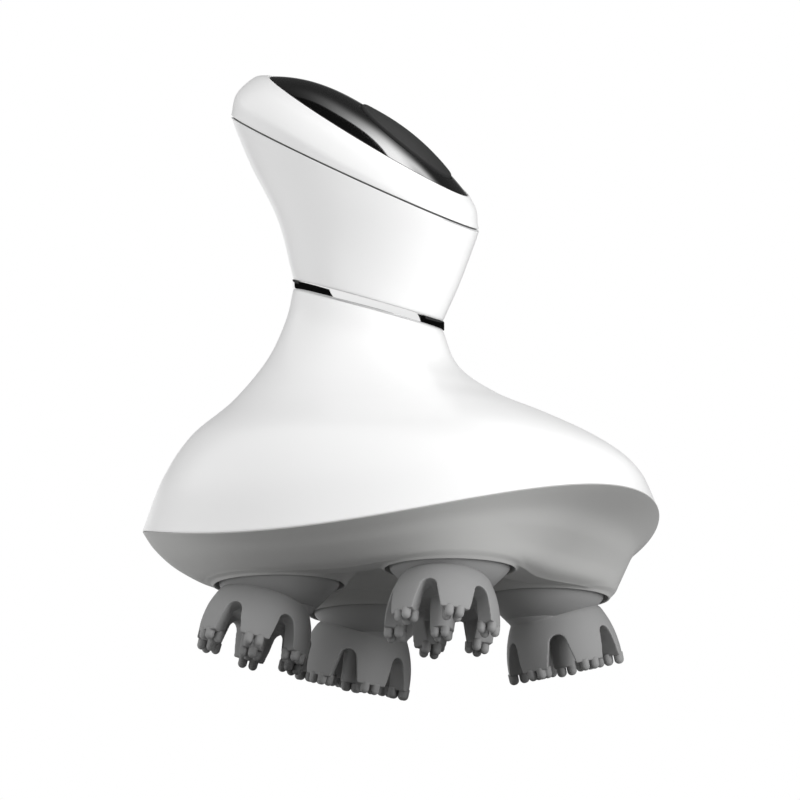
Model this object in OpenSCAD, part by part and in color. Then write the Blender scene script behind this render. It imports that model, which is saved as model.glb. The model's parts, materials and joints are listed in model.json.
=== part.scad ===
// Electric scalp massager. A waisted body stands on four claw-like massage cups.
// Each cup leans out from its vertical spindle, so the claws knead as the spindle turns.
// A gear motor in the neck drives a sun gear, which turns the four head gears.
// The part stands on its lowest nodules at z = 0. +X is the low side of the slanted top.

/* [Body shell] */
// Length of the body at the seam, along X
body_len = 114.4; // [106:0.2:124]
// Width of the body at the seam, along Y
body_wid = 100; // [94:1:112]
// Height of the body shell, from the middle of the seam to the waist
body_h = 56; // [52:1:70]
// How far the seam climbs from its middle to its two ends
seam_rise = 10.5; // [4:0.1:12]
// How much higher the seam ends at +X than at its middle, beyond that climb
seam_tip = 0.7; // [0:0.1:1.5]
// Wall of the moulded shells
shell_wall = 2.5; // [1.6:0.1:3]

/* [Waist] */
// Length of the neck at the bright ring, along X
waist_len = 34; // [32:0.5:42]
// Width of the neck at the bright ring, along Y
waist_wid = 32; // [31:0.5:40]
// How far the waist sits behind the middle of the body
waist_back = 8; // [6:0.1:10]
// Slope of the ring, down towards +X
waist_slope = 18; // [10:1:22]
// Height of the bright ring
ring_h = 2.1; // [1.2:0.1:4]
// How far the ring stands proud of the shells
ring_proud = 0.3; // [0:0.1:0.6]

/* [Handle and cap] */
// Height of the handle shell, from the ring to the parting line
handle_h = 28.1; // [26:0.1:40]
// Length of the handle at the parting line, along the slope
handle_len = 64.1; // [58:0.1:76]
// Width of the handle at the parting line
handle_wid = 40.6; // [36:0.2:50]
// How far the parting line's centre sits behind the middle of the body
handle_back = 11.3; // [8:0.1:13]
// Slope of the parting line, down towards +X
handle_slope = 27.4; // [22:0.2:30]
// Gap between the handle and its cap, filled by a dark gasket
parting_gap = 0.4; // [0.2:0.1:1]
// Height of the cap, from the parting line to the panel's rim, at the centre
cap_h = 8; // [7:0.1:12]

/* [Control panel] */
// Length of the glossy panel, along the slope
panel_len = 54.7; // [52:0.1:62]
// Width of the glossy panel
panel_wid = 31; // [27:0.5:34]
// How far the panel's centre sits behind the middle of the body
panel_back = 8; // [7:0.1:10]
// Slope of the panel, down towards +X
panel_slope = 33.3; // [28:0.1:36]
// Crown of the panel above its rim
panel_crown = 5.1; // [4.5:0.1:7]
// Share of the panel's half length by which the crown's top sits up the slope
panel_skew = 0.12; // [0:0.02:0.2]
// Wall of the panel
panel_wall = 1.8; // [1.2:0.1:2.2]

/* [Power button] */
// Length of the oval button
button_len = 27; // [18:0.2:28]
// Width of the oval button
button_wid = 14.2; // [12:0.2:18]
// How far the button sits down the slope from the panel's centre
button_shift = 9; // [5:0.1:9.6]
// How far the button stands proud of the panel
button_proud = 0.45; // [0.2:0.05:0.8]
// Travel of the button
button_travel = 0.5; // [0.3:0.05:0.6]
// Play round the button
button_gap = 0.2; // [0.1:0.05:0.3]

/* [Base cover] */
// How far the underside dips in between two neighbouring heads
lobe_dip = 12; // [6:0.5:13]
// Floor of the base cover
floor_wall = 2; // [1.4:0.1:2.6]
// Depth of the seam's middle below the plane in which the cups swivel
seam_drop = 2.3; // [1:0.1:3]
// Gap of the seam between body shell and base cover
seam_gap = 0.2; // [0.1:0.05:0.4]
// Depth of the hollow in the middle of the underside
hollow_deep = 2.5; // [1:0.1:3]

/* [Head openings] */
// Distance between the spindles of two neighbouring heads
head_pitch = 41.8; // [41:0.1:46]
// Radius of each round opening
opening_r = 13.9; // [13.5:0.1:14.3]
// Lip round each opening
lip_wall = 1.1; // [0.9:0.1:1.6]
// Depth of the lips below the plane in which the cups swivel
lip_drop = 9; // [8.6:0.1:10.4]
// Depth of each opening's recess
recess_deep = 4.5; // [4:0.1:5]

/* [Massage heads] */
// Lean of the cups away from their spindles
head_tilt = 15; // [8:1:16]
// Radius of the collar in the opening
collar_r = 12.9; // [12.2:0.1:13.1]
// Radius of a cup where its claws end
cup_r = 12.4; // [12.2:0.1:12.8]
// Radius of a cup at its neck
neck_r = 9.9; // [9:0.1:10.6]
// Distance from the swivel point to the neck, along the cup's axis
neck_d = 13; // [12.4:0.1:13.6]
// Distance from the swivel point to the ends of the claws
claw_d = 23.7; // [22.7:0.1:26]
// Height of the arches between the claws
arch_h = 6.8; // [5.4:0.1:7]
// Width of the arches at the ends of the claws
arch_w = 6.3; // [5:0.1:6.6]
// Number of claws on a cup
claws = 6; // [4:1:6]
// Radius of the hollow inside the claws
hollow_r = 8.4; // [8:0.1:8.8]
// Radius of the post in the middle of a cup
post_r = 2.6; // [2.3:0.1:2.8]
// How far the post reaches past the claws
post_extra = 0.4; // [0:0.1:1]

/* [Nodules] */
// Radius of a nodule
nodule_r = 1; // [0.8:0.05:1.05]
// Length of a nodule
nodule_len = 2; // [1.8:0.1:3.6]
// Distance between the nodules of a claw
nodule_pitch = 2.3; // [2.15:0.05:2.4]
// Distance from the cup's axis to the middle of a claw's nodules
claw_r = 10.4; // [10.2:0.1:10.7]

/* [Gears] */
// Teeth on the sun gear
sun_teeth = 44; // [40:1:48]
// Teeth on each head gear
head_teeth = 30; // [26:1:32]
// Teeth on the wheel on top of the sun gear
wheel_teeth = 40; // [36:1:44]
// Teeth on the motor's pinion
pinion_teeth = 14; // [14:1:16]
// Distance from the sun gear to the motor
motor_offset = 12.5; // [12:0.1:13]
// Play between meshed teeth
tooth_play = 0.16; // [0.1:0.02:0.3]
// Thickness of the sun gear and head gears
gear_t = 5; // [3:0.2:6]
// Thickness of the wheel and the pinion
wheel_t = 3.5; // [2.5:0.1:4]

/* [Spindles and bearings] */
// Radius of a spindle in its bush
spindle_r = 3; // [2.5:0.1:3.2]
// Radius of the pivots at the top of the spindles
pivot_r = 2; // [1.5:0.1:2.2]
// Running play of shafts in their bushes
run_gap = 0.05; // [0.02:0.01:0.08]
// Play between a face and its seat
seat_gap = 0.05; // [0.02:0.01:0.1]
// Wall of a spindle bush
bush_wall = 1.6; // [1.2:0.1:2]
// Thickness of the gear plates
plate_t = 2; // [1.5:0.1:2.4]
// Side of the square gear plates
plate_side = 59; // [54:1:60]

/* [Drive and electrics] */
// Radius of the motor and its gearbox
motor_r = 12; // [10:0.1:12.4]
// Length of the motor
motor_len = 22; // [16:0.5:22]
// Length of the motor's gearbox
gearbox_len = 10; // [8:0.5:10]
// Radius of the motor's output shaft
shaft_r = 1.5; // [1:0.1:1.8]
// Radius of the sleeve inside the waist
sleeve_r = 13.2; // [12.8:0.1:13.3]
// How far the sleeve reaches above the bright ring
sleeve_up = 6.2; // [4:0.2:8]
// Thickness, width and height of the battery
battery_t = 8; // [6:0.2:8.4]
// Width of the battery
battery_w = 17; // [12:0.2:17.4]
// Height of the battery
battery_h = 26; // [22:0.5:28]
// Length of the circuit board
board_len = 44; // [40:0.5:45]
// Width of the circuit board
board_wid = 19; // [14:0.5:20]
// Width of the charging port's plug
port_wid = 11; // [10:0.2:12]
// Height of the charging port's plug
port_h = 5.4; // [5:0.1:6]

/* [Hidden] */

// Points round each lofted outline
ring_pts = 64;
// A hair's overlap that joins or cuts cleanly
eps = 0.01;

// The four heads: front left, front right, rear right, rear left.
// Each row has the signs of X and Y, the way the cup leans and the way one claw faces.
heads = [
    [-1, -1, -135, 2],
    [1, -1, -77, 12],
    [1, 1, 68, 24],
    [-1, 1, 168, 20]
];
half_pitch = head_pitch / 2;
// The spindles' centre lies a little forward of the body's centre
grid_x = 2.7;

// Nodules of one claw or of the post, about its middle
nodule_grid = [for (x = [-1, 1], y = [-1, 1]) [x, y] * nodule_pitch / 2];
// Distance from the swivel point to the centre of a claw nodule's round end
nodule_end_d = claw_d + nodule_len - nodule_r;

// Depth of the lowest claw nodule of head k below the swivel plane
function head_drop(k) = nodule_r + max([
    for (c = [0 : claws - 1], g = nodule_grid)
        let (a = heads[k][3] - heads[k][2] + c * 360 / claws)
        let (along = (claw_r + g[0]) * cos(a) - g[1] * sin(a))
        nodule_end_d * cos(head_tilt) - along * sin(head_tilt)
]);
// Height of the plane in which the cups swivel, with the lowest nodules on the floor
deck_z = max([for (k = [0 : 3]) head_drop(k)]);

// Levels, from the openings up to the motor
lip_z = deck_z - lip_drop;
under_z = lip_z + 0.5;
recess_z = lip_z + recess_deep;
lower_plate_z = recess_z + floor_wall;
gear_z = lower_plate_z + plate_t + 1;
wheel_z = gear_z + gear_t + 0.5;
upper_plate_z = wheel_z + wheel_t + 1.5;
gearbox_z = upper_plate_z + plate_t;
motor_z = gearbox_z + gearbox_len;
motor_top_z = motor_z + motor_len;
seam_z = deck_z - seam_drop;
waist_z = seam_z + body_h;
handle_z = waist_z + ring_h;
parting_z = handle_z + handle_h;
cap_z = parting_z + parting_gap;
rim_z = cap_z + cap_h - 0.4;
// The sleeve hangs a little below the ring, and clears the motor
sleeve_down = 6.2;
sleeve_z = max(motor_top_z + 2.5, waist_z - sleeve_down);
sleeve_h = handle_z + sleeve_up - sleeve_z;

// Shapes of the lofts. Each row is one station, given as shares of the whole change.
// Body: height, length and width towards the seam's, shift back, slope
body_rows = [
    [0, 1, 1, 0, 0],
    [0.22, 0.89, 0.92, -0.02, 0.07],
    [0.40, 0.715, 0.75, 0.07, 0.18],
    [0.56, 0.445, 0.465, 0.26, 0.29],
    [0.71, 0.22, 0.23, 0.54, 0.59],
    [0.86, 0.066, 0.065, 0.885, 0.92],
    [1, 0, 0, 1, 1]
];
// Handle: height, length, width, shift back, slope
handle_rows = [
    [0, 0, 0, 0, 0],
    [0.37, 0.32, 0.26, -0.04, 0.43],
    [0.74, 0.69, 0.72, 0.41, 0.45],
    [1, 1, 1, 1, 1]
];
// Cap: height, length, width, shift forward, slope
cap_rows = [
    [0, 0, 0, 0, 0],
    [0.38, -0.02, -0.02, 0.15, 0.60],
    [0.78, 0.38, 0.40, 0.75, 1],
    [1, 1, 1, 1, 1]
];
// Base: height, spread from the underside's outline to the seam's at +X and at -X
base_rows = [
    [0, 0, 0],
    [0.10, 0.15, 0.25],
    [0.30, 0.26, 0.53],
    [0.50, 0.40, 0.73],
    [0.75, 0.60, 0.90],
    [1, 1, 1]
];

// One point of a smooth curve through the rows, for t from 0 to 1
function spline(rows, t) =
    let (m = len(rows) - 1, u = min(t * m, m - 1e-6), i = floor(u), f = u - i)
    let (b = rows[i], c = rows[i + 1])
    let (a = i == 0 ? 2 * b - c : rows[i - 1], d = i == m - 1 ? 2 * c - b : rows[i + 2])
    0.5 * (2 * b + (c - a) * f + (2 * a - 5 * b + 4 * c - d) * f * f
        + (3 * b - a - 3 * c + d) * f * f * f);
function mix(a, b, t) = a + (b - a) * t;

// How high the seam runs above its middle, at angle a round the body
function seam_lift(a) = seam_rise * pow(cos(a), 2) + seam_tip * cos(a);
// A slanted oval outline: centre, half length, half width, slope, share of the seam's lift
function oval(cx, cz, a, b, slope, lift = 0) = [
    for (i = [0 : ring_pts - 1])
        let (t = 360 * i / ring_pts)
        [cx + a * cos(t) * cos(slope), b * sin(t),
            cz - a * cos(t) * sin(slope) + lift * seam_lift(t)]
];
function body_ring(t, inset) =
    let (r = spline(body_rows, t))
    oval(-waist_back * r[3], seam_z + body_h * r[0],
        mix(waist_len, body_len, r[1]) / 2 - inset, mix(waist_wid, body_wid, r[2]) / 2 - inset,
        waist_slope * r[4], pow(1 - t, 2));
function handle_ring(t, inset) =
    let (r = spline(handle_rows, t))
    oval(-mix(waist_back, handle_back, r[3]), handle_z + handle_h * r[0],
        mix(waist_len, handle_len, r[1]) / 2 - inset, mix(waist_wid, handle_wid, r[2]) / 2 - inset,
        mix(waist_slope, handle_slope, r[4]));
// The rim of the cap stands just outside the panel
rim_gap = 0.2;
rim_edge = 0.4;
rim_a = panel_len / 2 + rim_gap + rim_edge;
rim_b = panel_wid / 2 + rim_gap + rim_edge;
function cap_ring(t, inset) =
    let (r = spline(cap_rows, t))
    oval(-mix(handle_back, panel_back, r[3]), mix(cap_z, rim_z, r[0]),
        mix(handle_len / 2, rim_a, r[1]) - inset, mix(handle_wid / 2, rim_b, r[2]) - inset,
        mix(handle_slope, panel_slope, r[4]));
// The underside reaches round the four openings and dips in between them
lobe_reach = head_pitch / sqrt(2) + opening_r;
function under_r(a) = lobe_reach - lobe_dip / 2 * (1 + cos(4 * a));
function base_ring(t, inset, lift, drop = 0) =
    let (r = spline(base_rows, t))
    [for (i = [0 : ring_pts - 1])
        let (a = 360 * i / ring_pts, reach = under_r(a) - inset)
        let (out = mix(r[2], r[1], (1 + cos(a)) / 2))
        [mix(grid_x + reach * cos(a), (body_len / 2 - inset) * cos(a), out),
            mix(reach * sin(a), (body_wid / 2 - inset) * sin(a), out),
            mix(under_z + lift, seam_z - seam_gap + seam_lift(a) - drop, r[0])]];

// Surface through a list of outlines that closes on itself, such as a hollow shell
module loop_skin(rings) {
    n = len(rings[0]);
    m = len(rings);
    polyhedron(
        points = [for (r = rings, p = r) p],
        faces = [for (j = [0 : m - 1], i = [0 : n - 1])
            let (a = j * n + i, b = j * n + (i + 1) % n)
            let (c = ((j + 1) % m) * n + i, d = ((j + 1) % m) * n + (i + 1) % n)
            each [[a, c, d], [a, d, b]]]);
}
// Surface through a list of outlines, closed by a point at each end
module pole_skin(first, rings, last) {
    n = len(rings[0]);
    m = len(rings);
    end = m * n;
    polyhedron(
        points = concat([for (r = rings, p = r) p], [first, last]),
        faces = concat(
            [for (j = [0 : m - 2], i = [0 : n - 1])
                let (a = j * n + i, b = j * n + (i + 1) % n)
                each [[a, a + n, b + n], [a, b + n, b]]],
            [for (i = [0 : n - 1]) [end, i, (i + 1) % n]],
            [for (i = [0 : n - 1]) [(m - 1) * n + i, end + 1, (m - 1) * n + (i + 1) % n]]));
}
// A hollow cylinder
module tube(outer, inner, h) {
    difference() {
        cylinder(r = outer, h = h, $fn = 64);
        translate([0, 0, -1]) cylinder(r = inner, h = h + 2, $fn = 64);
    }
}
// A flat bar with round ends, centred, along X
module stadium(length, width, h) {
    r = width / 2;
    translate([-length / 2 + r, -r, 0]) cube([length - width, width, h]);
    for (x = [-1, 1])
        translate([x * (length / 2 - r), 0, 0]) cylinder(r = r, h = h, $fn = 48);
}

// Places
module at_head(k)
    translate([grid_x + heads[k][0] * half_pitch, heads[k][1] * half_pitch, deck_z]) children();
// The cup's own axis, with one claw on +X and the swivel point at the origin
module at_cup(k)
    at_head(k) rotate([0, 0, heads[k][2]]) rotate([0, -head_tilt, 0])
        rotate([0, 0, heads[k][3] - heads[k][2]]) children();
module at_motor() translate([grid_x - motor_offset, 0, 0]) children();
module at_sun() translate([grid_x, 0, 0]) children();
module at_waist() translate([-waist_back, 0, 0]) children();
module at_panel() translate([-panel_back, 0, rim_z]) rotate([0, panel_slope, 0]) children();
// The four posts between the gear plates
module at_posts()
    for (a = [0 : 90 : 270]) translate([grid_x, 0, 0]) rotate([0, 0, a])
        translate([post_ring_r, 0, 0]) children();
screw_head_r = 1.9;
post_ring_r = motor_offset + motor_r + 0.3 + screw_head_r;

// ---- Shells ----

module body_shell() color("white")
    loop_skin(concat(
        [for (i = [0 : 12]) body_ring(i / 12, 0)],
        [for (i = [8 : -1 : 0]) body_ring(i / 8, shell_wall)]));

// A step inside the base cover's rim carries the seam gasket, just inside the body shell
gasket_w = 1.2;
gasket_h = 1.2;
gasket_out = shell_wall + 1;
gasket_low = 0.2;

function ledge_ring(inset, z) = [
    for (i = [0 : ring_pts - 1])
        let (a = 360 * i / ring_pts)
        [(body_len / 2 - inset) * cos(a), (body_wid / 2 - inset) * sin(a),
            seam_z + seam_lift(a) + z]
];

gasket_rest = gasket_low + 0.02;

module seam_gasket() color("dimgray")
    loop_skin([
        ledge_ring(gasket_out, gasket_rest),
        ledge_ring(gasket_out, gasket_rest + gasket_h),
        ledge_ring(gasket_out + gasket_w, gasket_rest + gasket_h),
        ledge_ring(gasket_out + gasket_w, gasket_rest)
    ]);

// Flare of a boss round an opening, at height h above its lip
function boss_r(h) = opening_r + lip_wall + 0.2 * h + 0.03 * h * h;
boss_h = recess_deep + floor_wall;

module base_boss() {
    steps = 5;
    rotate_extrude($fn = 96)
        polygon(concat(
            [[0, 0]],
            [for (i = [0 : steps]) [boss_r(boss_h * i / steps), boss_h * i / steps]],
            [[0, boss_h]]));
}
// The hollow between the heads: share of the underside's reach, share of its depth
hollow_rows = [[0.4, 1], [0.55, 0.9], [0.68, 0.45], [0.8, 0.05]];
screw_r = 1.25;
screw_gap = 0.15;
pilot_r = 1.1;
seal_r = spindle_r + 3;

module base_cover() color("darkgray")
    difference() {
        union() {
            pole_skin(
                [grid_x, 0, under_z + hollow_deep],
                concat(
                    [for (s = hollow_rows)
                        [for (p = base_ring(0, 0, 0))
                            [mix(grid_x, p[0], s[0]), p[1] * s[0], under_z + hollow_deep * s[1]]]],
                    [for (i = [0 : 9]) base_ring(i / 9, 0, 0)],
                    [ledge_ring(gasket_out - 0.1, -seam_gap)],
                    [ledge_ring(gasket_out - 0.1, gasket_low)],
                    [for (i = [7 : -1 : 0])
                        base_ring(i / 7, gasket_out + gasket_w, floor_wall, -gasket_low - seam_gap)],
                    [for (s = [0.85, 0.6])
                        [for (p = base_ring(0, 0, 0))
                            [mix(grid_x, p[0], s), p[1] * s,
                                under_z + floor_wall + (s < 0.7 ? hollow_deep : 0)]]]),
                [grid_x, 0, under_z + hollow_deep + floor_wall]);
            for (k = [0 : 3]) at_head(k) translate([0, 0, lip_z - deck_z]) base_boss();
            at_posts() translate([0, 0, under_z + 0.5])
                cylinder(r = screw_r + 2, h = lower_plate_z - under_z - 0.5, $fn = 48);
        }
        for (k = [0 : 3]) at_head(k) {
            translate([0, 0, lip_z - deck_z - 1])
                cylinder(r = opening_r, h = recess_deep + 1, $fn = 96);
            translate([0, 0, lip_z - deck_z])
                cylinder(r = seal_r + seat_gap, h = boss_h + 1, $fn = 64);
        }
        at_posts() translate([0, 0, under_z + 2])
            cylinder(r = pilot_r, h = boss_h, $fn = 32);
    }

module neck_ring() color("silver")
    loop_skin([
        oval(-waist_back, waist_z, waist_len / 2 + ring_proud, waist_wid / 2 + ring_proud,
            waist_slope),
        oval(-waist_back, waist_z + ring_h, waist_len / 2 + ring_proud,
            waist_wid / 2 + ring_proud, waist_slope),
        oval(-waist_back, waist_z + ring_h, waist_len / 2 - shell_wall, waist_wid / 2 - shell_wall,
            waist_slope),
        oval(-waist_back, waist_z, waist_len / 2 - shell_wall, waist_wid / 2 - shell_wall,
            waist_slope)
    ]);

// The sleeve that ties the body and the handle together inside the ring
sleeve_wall = 1.4;
module neck_sleeve() color("gainsboro")
    at_waist() translate([0, 0, sleeve_z]) {
        tube(sleeve_r, sleeve_r - sleeve_wall, sleeve_h);
        tube(sleeve_r, sleeve_r - 4, sleeve_wall);
    }

// Height of the charging port on the back of the handle, and its back wall there
port_z = handle_z + 12;
port_x = lookup(port_z, [
    for (i = [0 : 24])
        let (p = handle_ring(i / 24, 0)[ring_pts / 2])
        [p[2], p[0]]
]);

module handle_shell() color("white")
    difference() {
        loop_skin(concat(
            [for (i = [0 : 8]) handle_ring(i / 8, 0)],
            [for (i = [6 : -1 : 0]) handle_ring(i / 6, shell_wall)]));
        translate([port_x - 8, 0, port_z]) rotate([90, 0, 90])
            stadium(port_wid + 0.2, port_h + 0.2, 14);
    }

module cap_gasket() color("black")
    loop_skin([
        for (s = [[0.6, 0], [0.6, parting_gap], [shell_wall - 0.2, parting_gap], [shell_wall - 0.2, 0]])
            oval(-handle_back, parting_z + s[1], handle_len / 2 - s[0], handle_wid / 2 - s[0],
                handle_slope)
    ]);

// The cap's top: a step that the panel drops into, and a ledge under it
seat_drop = 1.4;
ledge_w = 2;
ledge_t = 1.2;
function rim_ring(inset, z) = oval(
    -panel_back + z * sin(panel_slope), rim_z + z * cos(panel_slope),
    rim_a - inset, rim_b - inset, panel_slope);

module top_cap() color("white")
    loop_skin(concat(
        [for (i = [0 : 9]) cap_ring(i / 9, 0)],
        [
            rim_ring(rim_edge, 0),
            rim_ring(rim_edge, -seat_drop),
            rim_ring(rim_edge + ledge_w, -seat_drop),
            rim_ring(rim_edge + ledge_w, -seat_drop - ledge_t)
        ],
        [for (i = [3 : -1 : 0]) cap_ring(i / 6, shell_wall)]));

// ---- Control panel and button, in the panel's own frame ----

// A dome whose top is long and flat along the slope and sits a little up it
function crown(x, y) =
    let (u = 2 * x / panel_len, side = pow(2 * y / panel_wid, 2) / max(1 - u * u, 0.001))
    panel_crown * (1 - pow(abs(u + panel_skew * (1 - u * u)), 2.5)) * (1 - min(1, side));
// Outline between the button's hole, s = 0, and the panel's rim, s = 1
function panel_ring(s, z, inset = 0) = [
    for (i = [0 : ring_pts - 1])
        let (a = 360 * i / ring_pts)
        let (x = mix(button_shift + (button_len / 2 + button_gap) * cos(a),
                (panel_len / 2 - inset) * cos(a), s))
        let (y = mix(button_wid / 2 + button_gap, panel_wid / 2 - inset, s) * sin(a))
        [x, y, z + (s == 1 && inset == 0 ? 0 : crown(x, y))]
];
board_z = -6;
board_t = 1.4;

module control_panel() color([0.05, 0.05, 0.06])
    at_panel() loop_skin(concat(
        [for (i = [5 : -1 : 0]) panel_ring(i / 5 * 0.7, -panel_wall)],
        [for (i = [0 : 9]) panel_ring(i / 9, 0)],
        [[for (p = panel_ring(1, 0)) [p[0], p[1], seat_gap - seat_drop]]],
        [[for (p = panel_ring(1, 0)) [p[0] * 0.955, p[1] * 0.93, seat_gap - seat_drop]]]));

// One outline of the button, at a share s of its size, drop below the crown
function button_ring(s, drop, grow = 0) = [
    for (i = [0 : ring_pts - 1])
        let (a = 360 * i / ring_pts)
        let (x = button_shift + (button_len / 2 * s + grow) * cos(a))
        let (y = (button_wid / 2 * s + grow) * sin(a))
        [x, y, drop == undef ? flange_z : crown(x, y) - drop]
];
// The button's flange hooks under the panel and keeps it from falling out
flange_w = 0.8;
flange_top = panel_wall + 0.15;
flange_z = -1;
module power_button() color([0.2, 0.2, 0.21])
    at_panel() {
        pole_skin([button_shift, 0, flange_z],
            concat(
                [button_ring(1, undef, flange_w), button_ring(1, flange_top, flange_w),
                    button_ring(1, flange_top)],
                [for (s = [1, 0.97, 0.8, 0.6, 0.4, 0.2])
                    button_ring(s, s == 1 ? 0 : -button_proud * (2 - s * s))]),
            [button_shift, 0, crown(button_shift, 0) + 2 * button_proud]);
        translate([button_shift, 0, stem_z])
            cylinder(r = 2.2, h = flange_z - stem_z + 0.5, $fn = 32);
    }
// The stem stops short of the switch by the button's travel and a hair
switch_h = 3.6;
stem_z = board_z + switch_h + button_travel + 0.1;

// ---- Electrics ----

module main_board() color("seagreen")
    at_panel() difference() {
        translate([board_x, 0, board_z - board_t]) stadium(board_len, board_wid, board_t);
        for (y = [-1, 1])
            translate([bracket_x, y * board_screw_y, board_z - board_t - 1])
                cylinder(r = 1, h = board_t + 2, $fn = 24);
    }
board_x = 2;
board_screw_y = 6.5;
bracket_x = 4.5;
bracket_t = 1.8;

module button_switch() color("gainsboro")
    at_panel() translate([button_shift, 0, board_z]) {
        translate([-3, -3, 0]) cube([6, 6, switch_h - 0.5]);
        cylinder(r = 1.6, h = switch_h, $fn = 32);
    }

module status_led() color("lightyellow")
    at_panel() translate([-11, 0, board_z]) {
        cylinder(r = 1.2, h = 2, $fn = 24);
        translate([0, 0, 2]) sphere(r = 1.2, $fn = 24);
    }

module board_screws() color("silver")
    at_panel() for (y = [-1, 1])
        translate([bracket_x, y * board_screw_y, board_z]) {
            cylinder(r = 1.6, h = 1, $fn = 32);
            translate([0, 0, -board_t - bracket_t]) cylinder(r = 0.75, h = board_t + bracket_t, $fn = 24);
        }

cradle_wall = 1.2;
cradle_gap = 0.2;
cradle_z = sleeve_z + sleeve_wall;
cradle_floor = 1.5;
battery_z = cradle_z + cradle_floor;
cradle_h = 20;
cradle_x = battery_t / 2 + cradle_gap + cradle_wall;

module battery() color("steelblue")
    at_waist() translate([-battery_t / 2, -battery_w / 2, battery_z])
        cube([battery_t, battery_w, battery_h]);

module battery_cradle() color("gray") {
    at_waist() {
        translate([0, 0, cradle_z])
            cylinder(r = sleeve_r - sleeve_wall - 0.2, h = cradle_floor, $fn = 64);
        difference() {
            translate([-cradle_x, -cradle_y, cradle_z])
                cube([2 * cradle_x, 2 * cradle_y, cradle_h]);
            translate([-battery_t / 2 - cradle_gap, -battery_w / 2 - cradle_gap, battery_z])
                cube([battery_t + 2 * cradle_gap, battery_w + 2 * cradle_gap, cradle_h]);
        }
        translate([-cradle_x - cradle_arm, -4, port_z - 3]) cube([cradle_arm + cradle_wall / 2, 8, 3.5]);
    }
    // Two arms reach up to the bracket under the main board
    difference() {
        at_waist() for (y = [-1, 1])
            translate([-arm_w / 2, y * (cradle_y - cradle_wall / 2) - arm_t / 2, cradle_z + cradle_h - 1])
                cube([arm_w, arm_t, rim_z - cradle_z - cradle_h + 1]);
        at_panel() translate([-40, -40, board_z - board_t - bracket_t / 2]) cube([80, 80, 60]);
    }
    at_panel() difference() {
        translate([bracket_x - arm_w / 2, -cradle_y, board_z - board_t - bracket_t])
            cube([arm_w, 2 * cradle_y, bracket_t]);
        for (y = [-1, 1])
            translate([bracket_x, y * board_screw_y, board_z - board_t - bracket_t - 1])
                cylinder(r = 0.8, h = bracket_t + 2, $fn = 24);
    }
}
arm_w = 8;
arm_t = cradle_wall - 0.2;
cradle_y = battery_w / 2 + cradle_gap + cradle_wall;
// The charging board stands off the cradle, behind the port
charge_board_t = 1.2;
port_len = 6.6;
plug_deep = shell_wall + 1.2;
charge_x = port_x + plug_deep + 0.1 + port_len;
cradle_arm = -waist_back - cradle_x - charge_x - charge_board_t;

module charge_board() color("seagreen")
    translate([charge_x, -6, port_z - 6]) cube([charge_board_t, 12, 12]);

module charge_port() color("silver")
    translate([charge_x - port_len, 0, port_z]) rotate([90, 0, 90]) {
        difference() {
            stadium(9, 3.2, port_len);
            translate([0, 0, -1]) stadium(8.3, 2.5, port_len);
        }
        // The tongue that carries the contacts
        translate([-3, -0.35, 0.8]) cube([6, 0.7, port_len - 1.3]);
    }

// The plug's face follows the handle, a hair proud of it
plug_proud = 0.15;
module port_plug() color("whitesmoke")
    intersection() {
        translate([port_x - 6, 0, port_z]) rotate([90, 0, 90])
            stadium(port_wid, port_h, plug_deep + 6);
        pole_skin([-waist_back, 0, handle_z],
            [for (i = [0 : 8]) handle_ring(i / 8, -plug_proud)],
            [-handle_back, 0, parting_z]);
    }

// ---- Motor ----

motor_screw_y = 8.5;
module motor() color("silver")
    at_motor() translate([0, 0, motor_z]) {
        cylinder(r = motor_r, h = motor_len, $fn = 64);
        cylinder(r = 4, h = motor_len + 1.2, $fn = 48);
    }

module motor_gearbox() color("dimgray")
    at_motor() difference() {
        translate([0, 0, gearbox_z]) cylinder(r = motor_r, h = gearbox_len, $fn = 64);
        translate([0, 0, gearbox_z - 1]) cylinder(r = shaft_r + run_gap, h = 8, $fn = 32);
        for (y = [-1, 1])
            translate([0, y * motor_screw_y, gearbox_z - 1]) cylinder(r = pilot_r, h = 6, $fn = 24);
    }

module motor_screws() color("silver")
    at_motor() for (y = [-1, 1])
        translate([0, y * motor_screw_y, upper_plate_z]) {
            translate([0, 0, -1.2]) cylinder(r = 2, h = 1.2, $fn = 32);
            cylinder(r = pilot_r - seat_gap, h = plate_t + 4, $fn = 24);
        }

module motor_shaft() color("lightgray")
    at_motor() translate([0, 0, wheel_z - 0.2])
        cylinder(r = shaft_r, h = gearbox_z + 6.5 - wheel_z + 0.2, $fn = 32);

// ---- Gears ----

pressure = 20;
function roll(base, r) = r <= base ? 0 : let (a = acos(base / r)) tan(a) * 180 / PI - a;
// Outline of a spur gear with a tooth on +X. Its module is the pitch diameter over the teeth.
function gear_outline(teeth, mod) =
    let (pitch = mod * teeth / 2, base = pitch * cos(pressure), root = pitch - 1.25 * mod)
    let (tip = pitch + 0.9 * mod, low = max(base, root))
    let (half = 90 / teeth - tooth_play / 4 / pitch * 180 / PI)
    let (flank = [for (s = [0 : 3]) mix(low, tip, s / 3)])
    let (turn = [for (r = flank) half + roll(base, pitch) - roll(base, r)])
    [for (t = [0 : teeth - 1])
        let (a = 360 * t / teeth)
        each concat(
            [[root * cos(a - turn[0]), root * sin(a - turn[0])]],
            [for (s = [0 : 3]) flank[s] * [cos(a - turn[s]), sin(a - turn[s])]],
            [for (s = [3 : -1 : 0]) flank[s] * [cos(a + turn[s]), sin(a + turn[s])]],
            [[root * cos(a + turn[0]), root * sin(a + turn[0])]])];

head_module = 2 * half_pitch * sqrt(2) / (sun_teeth + head_teeth);
drive_module = 2 * motor_offset / (wheel_teeth + pinion_teeth);
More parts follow.
